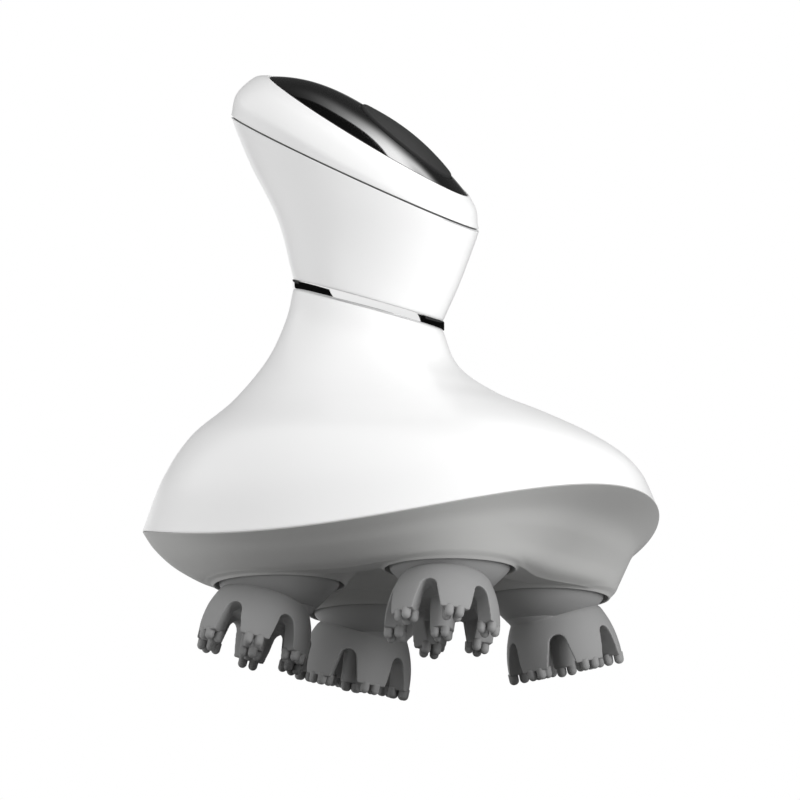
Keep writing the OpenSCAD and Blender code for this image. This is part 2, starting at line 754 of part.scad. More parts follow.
// Turn that puts a gear in mesh with one at the origin that has a tooth on +X
function mesh_turn(toward, driver, teeth) =
    toward + 180 - (0.5 - toward * driver / 360) * 360 / teeth;
function head_angle(k) = atan2(heads[k][1], heads[k][0]);

module sun_gear() color("ivory")
    at_sun() difference() {
        union() {
            translate([0, 0, gear_z]) linear_extrude(height = gear_t)
                polygon(gear_outline(sun_teeth, head_module));
            translate([0, 0, gear_z]) cylinder(r = 7, h = wheel_z - gear_z, $fn = 64);
            translate([0, 0, wheel_z]) linear_extrude(height = wheel_t)
                polygon(gear_outline(wheel_teeth, drive_module));
        }
        translate([0, 0, gear_z - 1])
            cylinder(r = pivot_r + run_gap, h = gear_t + wheel_t + 4, $fn = 48);
    }

module drive_pinion() color("goldenrod")
    at_motor() translate([0, 0, wheel_z]) difference() {
        rotate([0, 0, mesh_turn(180, wheel_teeth, pinion_teeth)])
            linear_extrude(height = wheel_t)
                polygon(gear_outline(pinion_teeth, drive_module));
        translate([0, 0, -1]) cylinder(r = shaft_r + seat_gap / 2, h = wheel_t + 2, $fn = 32);
    }

module sun_axle() color("silver")
    at_sun() translate([0, 0, lower_plate_z])
        cylinder(r = pivot_r, h = gearbox_z - lower_plate_z, $fn = 48);

// A round shaft with a flat on its +X side
flat_depth = 0.6;
module flat_shaft(r, h)
    difference() {
        cylinder(r = r, h = h, $fn = 48);
        translate([r - flat_depth, -r, -1]) cube([r, 2 * r, h + 2]);
    }

// ---- Frame of the gear train ----

bush_flange = 0.6;
module gear_plate(z) {
    corner = 8;
    side = plate_side / 2 - corner;
    difference() {
        translate([grid_x, 0, z]) {
            translate([-side, -plate_side / 2, 0]) cube([2 * side, plate_side, plate_t]);
            translate([-plate_side / 2, -side, 0]) cube([plate_side, 2 * side, plate_t]);
            for (x = [-1, 1], y = [-1, 1])
                translate([x * side, y * side, 0]) cylinder(r = corner, h = plate_t, $fn = 64);
        }
        at_posts() translate([0, 0, z - 1])
            cylinder(r = screw_r + screw_gap, h = plate_t + 2, $fn = 32);
        at_sun() translate([0, 0, z - 1]) cylinder(r = pivot_r + seat_gap, h = plate_t + 2, $fn = 48);
        children();
    }
}

module gear_plate_lower() color("slategray")
    gear_plate(lower_plate_z)
        for (k = [0 : 3]) at_head(k) translate([0, 0, lower_plate_z - deck_z - 1])
            cylinder(r = spindle_r + run_gap + bush_wall + seat_gap, h = plate_t + 2, $fn = 64);

module gear_plate_upper() color("slategray")
    gear_plate(upper_plate_z) {
        for (k = [0 : 3]) at_head(k) translate([0, 0, upper_plate_z - deck_z - 1])
            cylinder(r = pivot_r + run_gap, h = plate_t + 2, $fn = 48);
        at_motor() translate([0, 0, upper_plate_z - 1])
            cylinder(r = shaft_r + 1.5, h = plate_t + 2, $fn = 48);
        at_motor() for (y = [-1, 1]) translate([0, y * motor_screw_y, upper_plate_z - 1])
            cylinder(r = pilot_r + screw_gap, h = plate_t + 2, $fn = 24);
    }

module plate_standoffs() color("silver")
    at_posts() translate([0, 0, lower_plate_z + plate_t])
        tube(screw_r + 1.35, screw_r + screw_gap, upper_plate_z - lower_plate_z - plate_t);

module gear_screws() color("silver")
    at_posts() {
        translate([0, 0, under_z + 3])
            cylinder(r = pilot_r - seat_gap, h = gearbox_z - under_z - 3, $fn = 32);
        translate([0, 0, gearbox_z]) cylinder(r = screw_head_r, h = 1.6, $fn = 48);
    }

module spindle_bush(k) color("peru")
    at_head(k) translate([0, 0, lower_plate_z - deck_z]) difference() {
        union() {
            cylinder(r = spindle_r + run_gap + bush_wall, h = plate_t, $fn = 64);
            translate([0, 0, plate_t])
                cylinder(r = spindle_r + run_gap + bush_wall + 1.2, h = bush_flange, $fn = 64);
        }
        translate([0, 0, -1])
            cylinder(r = spindle_r + run_gap, h = plate_t + bush_flange + 2, $fn = 64);
    }

module shaft_seal(k) color("black")
    at_head(k) translate([0, 0, recess_z - deck_z])
        tube(seal_r, spindle_r + run_gap + 0.03, floor_wall);

// ---- Heads ----

// The spindle's hexagonal end drives the collar
hex_r = spindle_r + 0.1;
hex_gap = 0.08;
collar_top_z = recess_z - 0.5 - deck_z;
hex_deep = 8;

module spindle(k) color("lightgray")
    at_head(k) rotate([0, 0, heads[k][2]]) {
        translate([0, 0, collar_top_z - hex_deep]) cylinder(r = hex_r, h = hex_deep + 0.3, $fn = 6);
        translate([0, 0, collar_top_z + 0.3])
            cylinder(r = spindle_r, h = gear_z - deck_z - collar_top_z - 0.3, $fn = 48);
        translate([0, 0, gear_z - deck_z]) flat_shaft(spindle_r, gear_t);
        translate([0, 0, gear_z - deck_z + gear_t])
            cylinder(r = pivot_r, h = gearbox_z - gear_z - gear_t - 0.2, $fn = 48);
    }

module head_gear(k) color("ivory")
    at_head(k) translate([0, 0, gear_z - deck_z]) difference() {
        rotate([0, 0, mesh_turn(head_angle(k), sun_teeth, head_teeth)])
            linear_extrude(height = gear_t) polygon(gear_outline(head_teeth, head_module));
        translate([0, 0, -1]) rotate([0, 0, heads[k][2]])
            flat_shaft(spindle_r + seat_gap / 2, gear_t + 2);
    }

// The collar: a disc in the opening, then a cone that the cup is pulled over
module collar_form(grow) {
    rotate_extrude($fn = 96) polygon([
        [0, collar_top_z + grow],
        [collar_r + grow, collar_top_z + grow],
        [collar_r + grow, -lip_drop - grow / 2],
        [collar_r + grow - cone_h, -lip_drop - grow / 2 - cone_h],
        [0, -lip_drop - grow / 2 - cone_h]
    ]);
}
cone_h = 5;

module head_collar(k) color("dimgray")
    at_head(k) difference() {
        collar_form(0);
        rotate([0, 0, heads[k][2]]) translate([0, 0, collar_top_z - hex_deep - 0.3])
            cylinder(r = hex_r + hex_gap, h = hex_deep + 1, $fn = 6);
    }

// Radius of the cup's bell at distance d from the swivel point
function bell_r(d) = cup_r - (cup_r - neck_r) * pow((claw_d - d) / (claw_d - neck_d), 2.2);
hollow_d = 17;
bell_steps = 7;

module bell()
    rotate_extrude($fn = 96) polygon(concat(
        [[0, -neck_d + 1.5], [neck_r - 1.3, -neck_d + 1.5]],
        [for (i = [0 : bell_steps])
            let (d = mix(neck_d, claw_d, i / bell_steps))
            [bell_r(d), -d]],
        [
            [hollow_r, -claw_d],
            [hollow_r, -hollow_d - 1.5],
            [hollow_r - 1.5, -hollow_d],
            [post_r + 0.4, -hollow_d],
            [post_r, -claw_d],
            [post_r, -claw_d - post_extra],
            [0, -claw_d - post_extra]
        ]));

// The round-topped gap between two claws, cut outwards from inside the hollow
arch_r = 1.9;
module arch()
    translate([post_r + 1.5, 0, -claw_d]) rotate([90, 0, 90])
        linear_extrude(height = cup_r) union() {
            translate([0, arch_h - arch_r]) circle(r = arch_r, $fn = 48);
            polygon([[-arch_w / 2, -1], [arch_w / 2, -1], [arch_w / 2, 0],
                [arch_r * 0.97, arch_h - arch_r + 0.4], [-arch_r * 0.97, arch_h - arch_r + 0.4],
                [-arch_w / 2, 0]]);
        }

module nodule(end_d)
    translate([0, 0, -end_d - nodule_len + nodule_r]) {
        cylinder(r = nodule_r, h = nodule_len - nodule_r + 0.3, $fn = 24);
        sphere(r = nodule_r, $fn = 24);
    }

module massage_cup(k) color("gray")
    difference() {
        union() {
            at_cup(k) {
                difference() {
                    bell();
                    for (c = [0 : claws - 1]) rotate([0, 0, (c + 0.5) * 360 / claws]) arch();
                }
                for (c = [0 : claws - 1], g = nodule_grid)
                    rotate([0, 0, c * 360 / claws]) translate([claw_r + g[0], g[1], 0])
                        nodule(claw_d);
                for (g = nodule_grid) translate([g[0], g[1], 0] * 0.96) nodule(claw_d + post_extra);
            }
            // The cone goes on below the collar, until it meets the bell
            at_head(k) translate([0, 0, -lip_drop - cone_h - cup_lap])
                cylinder(r1 = collar_r - cone_h - cup_lap, r2 = collar_r - cone_h, h = cup_lap, $fn = 96);
        }
        at_head(k) collar_form(seat_gap);
    }
cup_lap = 1.2;

body_shell();
base_cover();
seam_gasket();
neck_ring();
neck_sleeve();
handle_shell();
cap_gasket();
top_cap();
control_panel();
power_button();
main_board();
button_switch();
status_led();
board_screws();
battery();
battery_cradle();
charge_board();
charge_port();
port_plug();
motor();
motor_gearbox();
motor_screws();
motor_shaft();
drive_pinion();
gear_plate_upper();
gear_plate_lower();
plate_standoffs();
gear_screws();
sun_axle();
sun_gear();
spindle_bush(0);  // spindle_bush_1
spindle_bush(1);  // spindle_bush_2
spindle_bush(2);  // spindle_bush_3
spindle_bush(3);  // spindle_bush_4
shaft_seal(0);  // shaft_seal_1
shaft_seal(1);  // shaft_seal_2
shaft_seal(2);  // shaft_seal_3
shaft_seal(3);  // shaft_seal_4
spindle(0);  // spindle_1
spindle(1);  // spindle_2
spindle(2);  // spindle_3
spindle(3);  // spindle_4
head_gear(0);  // head_gear_1
head_gear(1);  // head_gear_2
head_gear(2);  // head_gear_3
head_gear(3);  // head_gear_4
head_collar(0);  // head_collar_1
head_collar(1);  // head_collar_2
head_collar(2);  // head_collar_3
head_collar(3);  // head_collar_4
massage_cup(0);  // massage_cup_1
massage_cup(1);  // massage_cup_2
massage_cup(2);  // massage_cup_3
massage_cup(3);  // massage_cup_4
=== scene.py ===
# %% [markdown]
# # An electric scalp massager
# The real object is a waisted white handle on a wide body, with four soft kneading heads underneath.
# Its solids come from a CAD model, which holds the sizes and the moving joints, so this script never
# moves them. It adds what the eye sees: smooth skins, soft silicone, gloss, gaps and light.
# Each cell makes one thing and prints what it made.

# %% Load the CAD frame
import math
import bmesh
import bpy
import numpy as np
from mathutils import Matrix, Vector
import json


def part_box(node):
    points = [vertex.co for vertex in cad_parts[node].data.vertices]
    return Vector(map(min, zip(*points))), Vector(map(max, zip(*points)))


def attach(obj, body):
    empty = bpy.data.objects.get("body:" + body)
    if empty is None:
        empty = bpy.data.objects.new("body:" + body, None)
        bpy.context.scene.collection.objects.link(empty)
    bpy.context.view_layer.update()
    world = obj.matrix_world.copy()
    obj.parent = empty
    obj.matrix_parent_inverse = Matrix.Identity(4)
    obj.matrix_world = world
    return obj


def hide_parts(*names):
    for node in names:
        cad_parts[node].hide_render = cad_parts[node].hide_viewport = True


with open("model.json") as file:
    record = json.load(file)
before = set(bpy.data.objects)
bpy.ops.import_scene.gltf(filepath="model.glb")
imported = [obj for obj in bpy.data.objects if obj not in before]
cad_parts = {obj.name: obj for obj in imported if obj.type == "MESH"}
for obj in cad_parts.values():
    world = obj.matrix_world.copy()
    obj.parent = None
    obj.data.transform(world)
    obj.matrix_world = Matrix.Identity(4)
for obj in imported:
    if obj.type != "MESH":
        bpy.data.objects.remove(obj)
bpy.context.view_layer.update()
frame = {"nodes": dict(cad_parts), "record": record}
nodes = frame["nodes"]
MM = 0.001

# %% [markdown]
# The heads swivel about points on one level, a little above the openings. That level is the deck.
# The collars' tops lie five millimetres below it, so the deck is read from a collar and not typed in.

# %% Find the levels that the pieces share
GRID_X = 2.7
HALF_PITCH = 20.9
BODY_H, RING_H, HANDLE_H, PARTING_GAP, CAP_H = 56.0, 2.1, 28.1, 0.4, 7.6
collar_low, collar_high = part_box("head_collar_1")
DECK = collar_high.z / MM + 5.0
LIP = DECK - 9.0
SEAM = DECK - 2.3
WAIST = SEAM + BODY_H
HANDLE = WAIST + RING_H
PARTING = HANDLE + HANDLE_H
CAP = PARTING + PARTING_GAP
RIM = CAP + CAP_H
print("deck", round(DECK, 2), "seam", round(SEAM, 2), "ring", round(WAIST, 2), "rim", round(RIM, 2))

# %% [markdown]
# The photograph was taken from a little below the object and from its front left, with a long lens.
# So the camera stands five metres off and looks up by about ten degrees. The lens is chosen so that
# the picture is 172 mm wide at the object.

# %% Place the camera
VIEW_AZ, VIEW_EL = math.radians(29.0), math.radians(-10.3)
CAMERA_FAR, PICTURE_WIDE = 5.0, 0.17204
right = Vector((math.cos(VIEW_AZ), math.sin(VIEW_AZ), 0))
back = Vector((math.sin(VIEW_AZ) * math.cos(VIEW_EL), -math.cos(VIEW_AZ) * math.cos(VIEW_EL),
               math.sin(VIEW_EL)))
up = back.cross(right)
aim = Vector((GRID_X, 0, DECK)) * MM + right * (-2.50 * MM) + up * (32.47 * MM)
camera = bpy.data.objects.new("camera", bpy.data.cameras.new("camera"))
camera.data.sensor_width = 36.0
camera.data.lens = camera.data.sensor_width * CAMERA_FAR / PICTURE_WIDE
camera.data.clip_start, camera.data.clip_end = 0.1, 50.0
camera.rotation_mode = "QUATERNION"
camera.location = aim + back * CAMERA_FAR
camera.rotation_quaternion = back.to_track_quat("Z", "Y")
bpy.context.scene.collection.objects.link(camera)
bpy.context.scene.camera = camera
print("camera at", [round(v, 3) for v in camera.location])

# %% [markdown]
# A mesh is points and faces. Most skins here are lofts: rows of outlines, one above the other, joined
# by four-sided faces. One helper turns such rows into an object, and another closes it.

# %% Helpers that make meshes


def mesh_object(name, points, faces, smooth=True):
    """A new object from points in millimetres."""
    mesh = bpy.data.meshes.new(name)
    mesh.from_pydata((np.asarray(points, float) * MM).tolist(), [], faces)
    mesh.update()
    if smooth:
        mesh.shade_smooth()
    thing = bpy.data.objects.new(name, mesh)
    bpy.context.scene.collection.objects.link(thing)
    return thing


def outward(thing):
    """Merges doubled points and turns every face outwards."""
    work = bmesh.new()
    work.from_mesh(thing.data)
    bmesh.ops.remove_doubles(work, verts=work.verts, dist=1e-6)
    bmesh.ops.recalc_face_normals(work, faces=work.faces)
    work.to_mesh(thing.data)
    work.free()
    thing.data.update()


def loft(name, rows, closed=True, poles=None):
    """Joins rows of points. closed joins the last row to the first; poles are its two end points."""
    rows = np.asarray(rows, float)
    count, n = rows.shape[0], rows.shape[1]
    points = rows.reshape(-1, 3).tolist()
    faces = []
    for j in range(count if closed else count - 1):
        k = (j + 1) % count
        faces += [(j * n + i, j * n + (i + 1) % n, k * n + (i + 1) % n, k * n + i) for i in range(n)]
    if poles is not None:
        first, last = len(points), len(points) + 1
        points += [list(poles[0]), list(poles[1])]
        faces += [(first, (i + 1) % n, i) for i in range(n)]
        end = (count - 1) * n
        faces += [(last, end + i, end + (i + 1) % n) for i in range(n)]
    thing = mesh_object(name, points, faces)
    outward(thing)
    return thing


def curve_through(table, t):
    """A smooth value between the rows of a table, for t from 0 to 1."""
    table = np.asarray(table, float)
    spans = len(table) - 1
    u = min(t * spans, spans - 1e-6)
    i, f = int(u), u - int(u)
    b, c = table[i], table[i + 1]
    a = 2 * b - c if i == 0 else table[i - 1]
    d = 2 * c - b if i == spans - 1 else table[i + 2]
    return 0.5 * (2 * b + (c - a) * f + (2 * a - 5 * b + 4 * c - d) * f**2
                  + (3 * b - a - 3 * c + d) * f**3)


def mix(a, b, t):
    return a + (b - a) * t


# %% [markdown]
# ## Finishes
# A material is a small network of nodes. Real plastics aren't even: their colour, gloss and surface
# vary a little. One node group makes that fine variation, and each finish uses it at its own scale.

# %% Build the shared node group for moulded surfaces


def new_group(name, inputs, outputs):
    tree = bpy.data.node_groups.new(name, "ShaderNodeTree")
    for label, kind, value in inputs:
        socket = tree.interface.new_socket(name=label, in_out="INPUT", socket_type=kind)
        socket.default_value = value
    for label, kind in outputs:
        tree.interface.new_socket(name=label, in_out="OUTPUT", socket_type=kind)
    return tree, tree.nodes.new("NodeGroupInput"), tree.nodes.new("NodeGroupOutput")


grain, source, result = new_group(
    "moulded_grain",
    [("Cloud Scale", "NodeSocketFloat", 40.0), ("Grain Scale", "NodeSocketFloat", 3000.0),
     ("Grain Share", "NodeSocketFloat", 0.5)],
    [("Cloud", "NodeSocketFloat"), ("Height", "NodeSocketFloat")])
place = grain.nodes.new("ShaderNodeTexCoord")
cloud = grain.nodes.new("ShaderNodeTexNoise")
cloud.inputs["Detail"].default_value = 3.0
fine = grain.nodes.new("ShaderNodeTexNoise")
fine.inputs["Detail"].default_value = 2.0
blend = grain.nodes.new("ShaderNodeMix")
grain.links.new(place.outputs["Object"], cloud.inputs["Vector"])
grain.links.new(place.outputs["Object"], fine.inputs["Vector"])
grain.links.new(source.outputs["Cloud Scale"], cloud.inputs["Scale"])
grain.links.new(source.outputs["Grain Scale"], fine.inputs["Scale"])
grain.links.new(source.outputs["Grain Share"], blend.inputs[0])
grain.links.new(cloud.outputs["Fac"], blend.inputs[2])
grain.links.new(fine.outputs["Fac"], blend.inputs[3])
grain.links.new(cloud.outputs["Fac"], result.inputs["Cloud"])
grain.links.new(blend.outputs[0], result.inputs["Height"])
print("group outputs:", [s.name for s in grain.interface.items_tree if s.in_out == "OUTPUT"])

# %% Build a finish from the group


def finish(name, dark, light, rough, cloud_scale=40.0, grain_scale=3000.0, grain_share=0.5,
           bump=0.0, bump_mm=0.02, **constants):
    """A Principled material. Colour and roughness drift between two values over the surface."""
    material = bpy.data.materials.new(name)
    material.use_nodes = True
    tree = material.node_tree
    shader = tree.nodes["Principled BSDF"]
    noise = tree.nodes.new("ShaderNodeGroup")
    noise.node_tree = grain
    noise.inputs["Cloud Scale"].default_value = cloud_scale
    noise.inputs["Grain Scale"].default_value = grain_scale
    noise.inputs["Grain Share"].default_value = grain_share
    colour = tree.nodes.new("ShaderNodeMix")
    colour.data_type = "RGBA"
    colour.inputs[6].default_value = (*dark, 1)
    colour.inputs[7].default_value = (*light, 1)
    tree.links.new(noise.outputs["Cloud"], colour.inputs[0])
    tree.links.new(colour.outputs[2], shader.inputs["Base Color"])
    gloss = tree.nodes.new("ShaderNodeMapRange")
    gloss.inputs["To Min"].default_value, gloss.inputs["To Max"].default_value = rough
    tree.links.new(noise.outputs["Height"], gloss.inputs["Value"])
    tree.links.new(gloss.outputs["Result"], shader.inputs["Roughness"])
    if bump:
        relief = tree.nodes.new("ShaderNodeBump")
        relief.inputs["Strength"].default_value = bump
        relief.inputs["Distance"].default_value = bump_mm * MM
        tree.links.new(noise.outputs["Height"], relief.inputs["Height"])
        tree.links.new(relief.outputs["Normal"], shader.inputs["Normal"])
    for key, value in constants.items():
        shader.inputs[key.replace("_", " ")].default_value = value
    return material


def dress(thing, material):
    thing.data.materials.clear()
    thing.data.materials.append(material)


def place(thing, body, slot, material, *stands_for):
    """Gives a piece its body and its finish, and hides the CAD nodes it stands for. The slot is not used.
    """
    if stands_for:
        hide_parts(*stands_for)
    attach(thing, body)
    dress(thing, material)
    print(thing.name, "has", len(thing.data.polygons), "faces")


def grey(value):
    return (value, value, value)


# %% [markdown]
# The white plastic is bright and glossy. The base and the heads are grey with a soft sheen. The panel
# is near black under a clear polish, and the button beside it is matte with a fine moulded grain.

# %% Mix the visible finishes
white_gloss = finish("white_gloss", grey(0.83), grey(0.86), (0.27, 0.33), 18.0, 2500.0, 0.4,
                     bump=0.02, bump_mm=0.01)
base_satin = finish("base_satin", (0.39, 0.39, 0.384), (0.42, 0.42, 0.413), (0.42, 0.50), 25.0, 3500.0,
                    0.7, bump=0.08, bump_mm=0.02)
silicone = finish("silicone", grey(0.26), grey(0.29), (0.46, 0.56), 60.0, 4000.0, 0.6,
                  bump=0.08, bump_mm=0.02)
collar_satin = finish("collar_satin", grey(0.27), grey(0.295), (0.42, 0.50), 40.0, 3500.0, 0.6,
                      bump=0.05, bump_mm=0.02)
panel_polish = finish("panel_polish", grey(0.004), grey(0.006), (0.06, 0.09), 20.0, 1500.0, 0.3,
                      Coat_Weight=1.0, Coat_Roughness=0.03)
button_matte = finish("button_matte", grey(0.022), grey(0.027), (0.50, 0.62), 50.0, 5000.0, 0.8,
                      bump=0.25, bump_mm=0.03, Specular_IOR_Level=0.2)
bright_plate = finish("bright_plate", grey(0.80), grey(0.84), (0.04, 0.07), 30.0, 2000.0, 0.3,
                      Metallic=1.0)
dark_rubber = finish("dark_rubber", grey(0.012), grey(0.018), (0.55, 0.70), 50.0, 4000.0, 0.6,
                     bump=0.1)
print("finishes:", len(bpy.data.materials))

# %% [markdown]
# ## The white shells
# Body, handle and cap are moulded in glossy white plastic. Each is an oval that changes its length,
# width, height and slope on the way up. The CAD solids hold the same ovals with few flat faces, so
# finer lofts through the same stations replace them and give clean reflections.

# %% Make the outlines of the shells
AROUND = np.radians(np.arange(0, 360, 1.5))
WALL = 2.5
BODY_LEN, BODY_WID, NECK_LEN, NECK_WID = 114.4, 100, 34, 32
HANDLE_LEN, HANDLE_WID = 64.1, 40.6
WAIST_BACK, HANDLE_BACK, PANEL_BACK = 8.0, 11.3, 8.0
WAIST_SLOPE, PARTING_SLOPE, PANEL_SLOPE = 18, 27.4, 33.3


def seam_lift(angle):
    return 10.5 * np.cos(angle) ** 2 + 0.7 * np.cos(angle)


def oval(cx, cz, a, b, slope, lift=0.0):
    slope = math.radians(slope)
    x = cx + a * np.cos(AROUND) * math.cos(slope)
    y = b * np.sin(AROUND)
    z = cz - a * np.cos(AROUND) * math.sin(slope) + lift * seam_lift(AROUND)
    return np.stack([x, y, z], -1)


BODY_ROWS = [(0, 1, 1, 0, 0), (0.22, 0.89, 0.92, -0.02, 0.07), (0.40, 0.715, 0.75, 0.07, 0.18),
             (0.56, 0.445, 0.465, 0.26, 0.29), (0.71, 0.22, 0.23, 0.54, 0.59),
             (0.86, 0.066, 0.065, 0.885, 0.92), (1, 0, 0, 1, 1)]
HANDLE_ROWS = [(0, 0, 0, 0, 0), (0.37, 0.32, 0.26, -0.04, 0.43), (0.74, 0.69, 0.72, 0.41, 0.45),
               (1, 1, 1, 1, 1)]
CAP_ROWS = [(0, 0, 0, 0, 0), (0.38, -0.02, -0.02, 0.15, 0.60), (0.78, 0.38, 0.40, 0.75, 1),
            (1, 1, 1, 1, 1)]
RIM_A, RIM_B = 27.95, 16.1


def body_outline(t, inset=0.0, lift=0.0):
    h, length, width, shift, slope = curve_through(BODY_ROWS, t)
    return oval(-WAIST_BACK * shift, SEAM + BODY_H * h + lift, mix(NECK_LEN, BODY_LEN, length) / 2 - inset,
                mix(NECK_WID, BODY_WID, width) / 2 - inset, WAIST_SLOPE * slope, (1 - t) ** 2)


def handle_outline(t, inset=0.0, lift=0.0):
    h, length, width, shift, slope = curve_through(HANDLE_ROWS, t)
    return oval(-mix(WAIST_BACK, HANDLE_BACK, shift), HANDLE + HANDLE_H * h + lift,
                mix(NECK_LEN, HANDLE_LEN, length) / 2 - inset, mix(NECK_WID, HANDLE_WID, width) / 2 - inset,
                mix(WAIST_SLOPE, PARTING_SLOPE, slope))


def cap_outline(t, inset=0.0, lift=0.0):
    h, length, width, shift, slope = curve_through(CAP_ROWS, t)
    return oval(-mix(HANDLE_BACK, PANEL_BACK, shift), mix(CAP, RIM, h) + lift,
                mix(HANDLE_LEN / 2, RIM_A, length) - inset, mix(HANDLE_WID / 2, RIM_B, width) - inset,
                mix(PARTING_SLOPE, PANEL_SLOPE, slope))


print("outline points:", len(AROUND))

# %% [markdown]
# A moulded edge is never quite sharp. Where a shell ends, its last rows turn inwards over a fraction
# of a millimetre. That small turn catches the light and draws the fine bright line beside each gap.

# %% Loft the body, the handle and the cap
FILLET = 0.2


def shell(name, outline, steps):
    rows = [outline(0, WALL), outline(0, FILLET)]
    rows += [outline(0, FILLET * (1 - math.sin(a)), FILLET * (1 - math.cos(a)))
             for a in np.radians((30, 60))]
    first = 1.0 / steps
    rows += [outline(t, 0) for t in np.linspace(first / 2, 1 - first / 2, steps)]
    rows += [outline(1, FILLET * (1 - math.sin(a)), -FILLET * (1 - math.cos(a)))
             for a in np.radians((60, 30))]
    rows += [outline(1, FILLET), outline(1, WALL)]
    rows += [outline(t, WALL) for t in np.linspace(0.95, 0.05, steps // 3)]
    return loft(name, rows)


body_skin = shell("body_skin", body_outline, 72)
handle_skin = shell("handle_skin", handle_outline, 48)
place(body_skin, "housing", "shell_white", white_gloss, "body_shell")
place(handle_skin, "housing", "shell_white", white_gloss, "handle_shell")

# %% Loft the cap with the step that holds the panel


def rim_outline(inset, z):
    slope = math.radians(PANEL_SLOPE)
    return oval(-PANEL_BACK + z * math.sin(slope), RIM + z * math.cos(slope), RIM_A - inset,
                RIM_B - inset, PANEL_SLOPE)


rows = [cap_outline(0, WALL), cap_outline(0, FILLET)]
rows += [cap_outline(0, FILLET * (1 - math.sin(a)), FILLET * (1 - math.cos(a)))
         for a in np.radians((30, 60))]
rows += [cap_outline(t) for t in np.linspace(0.03, 0.985, 36)]
rows += [rim_outline(0.06, 0.0), rim_outline(0.2, 0.06), rim_outline(0.34, 0.0), rim_outline(0.4, -0.12)]
rows += [rim_outline(0.4, -1.4), rim_outline(2.4, -1.4), rim_outline(2.4, -2.6)]
rows += [cap_outline(t, WALL) for t in (0.5, 0.33, 0.16)]
cap_skin = loft("cap_skin", rows)
place(cap_skin, "housing", "shell_white", white_gloss, "top_cap")

# %% [markdown]
# ## The bright ring
# A thin plated band parts the body from the handle. Its corners are rounded a little, because a sharp
# corner would never show the fine highlight that a plated edge shows.

# %% Loft the ring
PROUD = 0.3


def ring_outline(inset, lift):
    return oval(-WAIST_BACK, WAIST + lift, NECK_LEN / 2 + PROUD - inset, NECK_WID / 2 + PROUD - inset,
                WAIST_SLOPE)


corner = [(0.3 * (1 - math.sin(a)), 0.3 * (1 - math.cos(a))) for a in np.radians((0, 30, 60, 90))]
rows = [ring_outline(inset, lift) for inset, lift in corner]
rows += [ring_outline(inset, RING_H - lift) for inset, lift in reversed(corner)]
rows += [ring_outline(WALL + PROUD, RING_H), ring_outline(WALL + PROUD, 0)]
bright_ring = loft("bright_ring", rows)
place(bright_ring, "housing", "ring_chrome", bright_plate, "neck_ring")

# %% [markdown]
# ## The panel and its button
# The slanted top carries a domed black panel, polished like glass. A large matte oval button sits in
# it, towards the low side, and follows the dome. Both are written in the panel's own tilted frame and
# then turned into place, as the maker's drawing would have them.

# %% Make the panel
PANEL_TURN = (Matrix.Translation(Vector((-PANEL_BACK, 0, RIM)))
              @ Matrix.Rotation(math.radians(PANEL_SLOPE), 4, "Y"))
PANEL_A, PANEL_B, PANEL_CROWN, PANEL_SKEW = 27.35, 15.5, 5.1, 0.12
BUTTON_X, BUTTON_A, BUTTON_B, BUTTON_PROUD, BUTTON_GAP = 9.0, 13.5, 7.1, 0.45, 0.2


def crown(x, y):
    """Height of the dome over a point of the panel."""
    u = x / PANEL_A
    side = (y / PANEL_B) ** 2 / np.maximum(1 - u * u, 0.001)
    return PANEL_CROWN * (1 - np.abs(u + PANEL_SKEW * (1 - u * u)) ** 2.5) * (1 - np.minimum(1, side))


def in_panel(points):
    turn = np.array(PANEL_TURN)
    return np.asarray(points, float) @ turn[:3, :3].T + turn[:3, 3]


def panel_outline(s, drop):
    """One outline between the hole for the button, s = 0, and the panel's edge, s = 1."""
    x = mix(BUTTON_X + (BUTTON_A + BUTTON_GAP) * np.cos(AROUND), PANEL_A * np.cos(AROUND), s)
    y = mix(BUTTON_B + BUTTON_GAP, PANEL_B, s) * np.sin(AROUND)
    return in_panel(np.stack([x, y, crown(x, y) - drop], -1))


rows = [panel_outline(s, 1.8) for s in np.linspace(0.7, 0, 6)]
rows += [panel_outline(0, 0.25), panel_outline(0.004, 0.06)]
rows += [panel_outline(s, 0) for s in np.linspace(0.015, 0.985, 40)]
rows += [panel_outline(0.997, 0.06), panel_outline(1, 0.3)]
edge = np.stack([PANEL_A * np.cos(AROUND), PANEL_B * np.sin(AROUND), np.full_like(AROUND, -1.35)], -1)
rows += [in_panel(edge), in_panel(edge * (0.955, 0.93, 1))]
black_panel = loft("black_panel", rows)
place(black_panel, "housing", "panel_black", panel_polish, "control_panel")

# %% Make the button


def button_outline(s, drop, grow=0.0, flat=None):
    x = BUTTON_X + (BUTTON_A * s + grow) * np.cos(AROUND)
    y = (BUTTON_B * s + grow) * np.sin(AROUND)
    z = np.full_like(x, flat) if flat is not None else crown(x, y) - drop
    return in_panel(np.stack([x, y, z], -1))


def proud(s):
    """How far the button's face lies below the dome; negative values stand above it."""
    return -BUTTON_PROUD * (2 - s * s)


rows = [button_outline(0.2, 0, flat=-1.0), button_outline(1, 0, 0.8, flat=-1.0)]
rows += [button_outline(1, 1.95, 0.8), button_outline(1, 1.95), button_outline(1, 0.1)]
rows += [button_outline(0.998, proud(1) + 0.22), button_outline(0.992, proud(1) + 0.1)]
rows += [button_outline(s, proud(s)) for s in np.sqrt(np.linspace(0.96, 0.01, 26))]
ends = in_panel([[BUTTON_X, 0, -1.0], [BUTTON_X, 0, crown(BUTTON_X, 0) + 0.9]])
oval_button = loft("oval_button", rows, closed=False, poles=ends)
place(oval_button, "button", "button_grey", button_matte, "power_button")

# %% [markdown]
# ## The grey base
# The base cover is one moulding: a shallow bowl that swells into a round boss at each head. The bowl
# is drawn as a height over the plan, and where it meets a boss the two heights are blended, which
# gives the soft hollow between them. Four round holes are then cut through it with crisp edges.

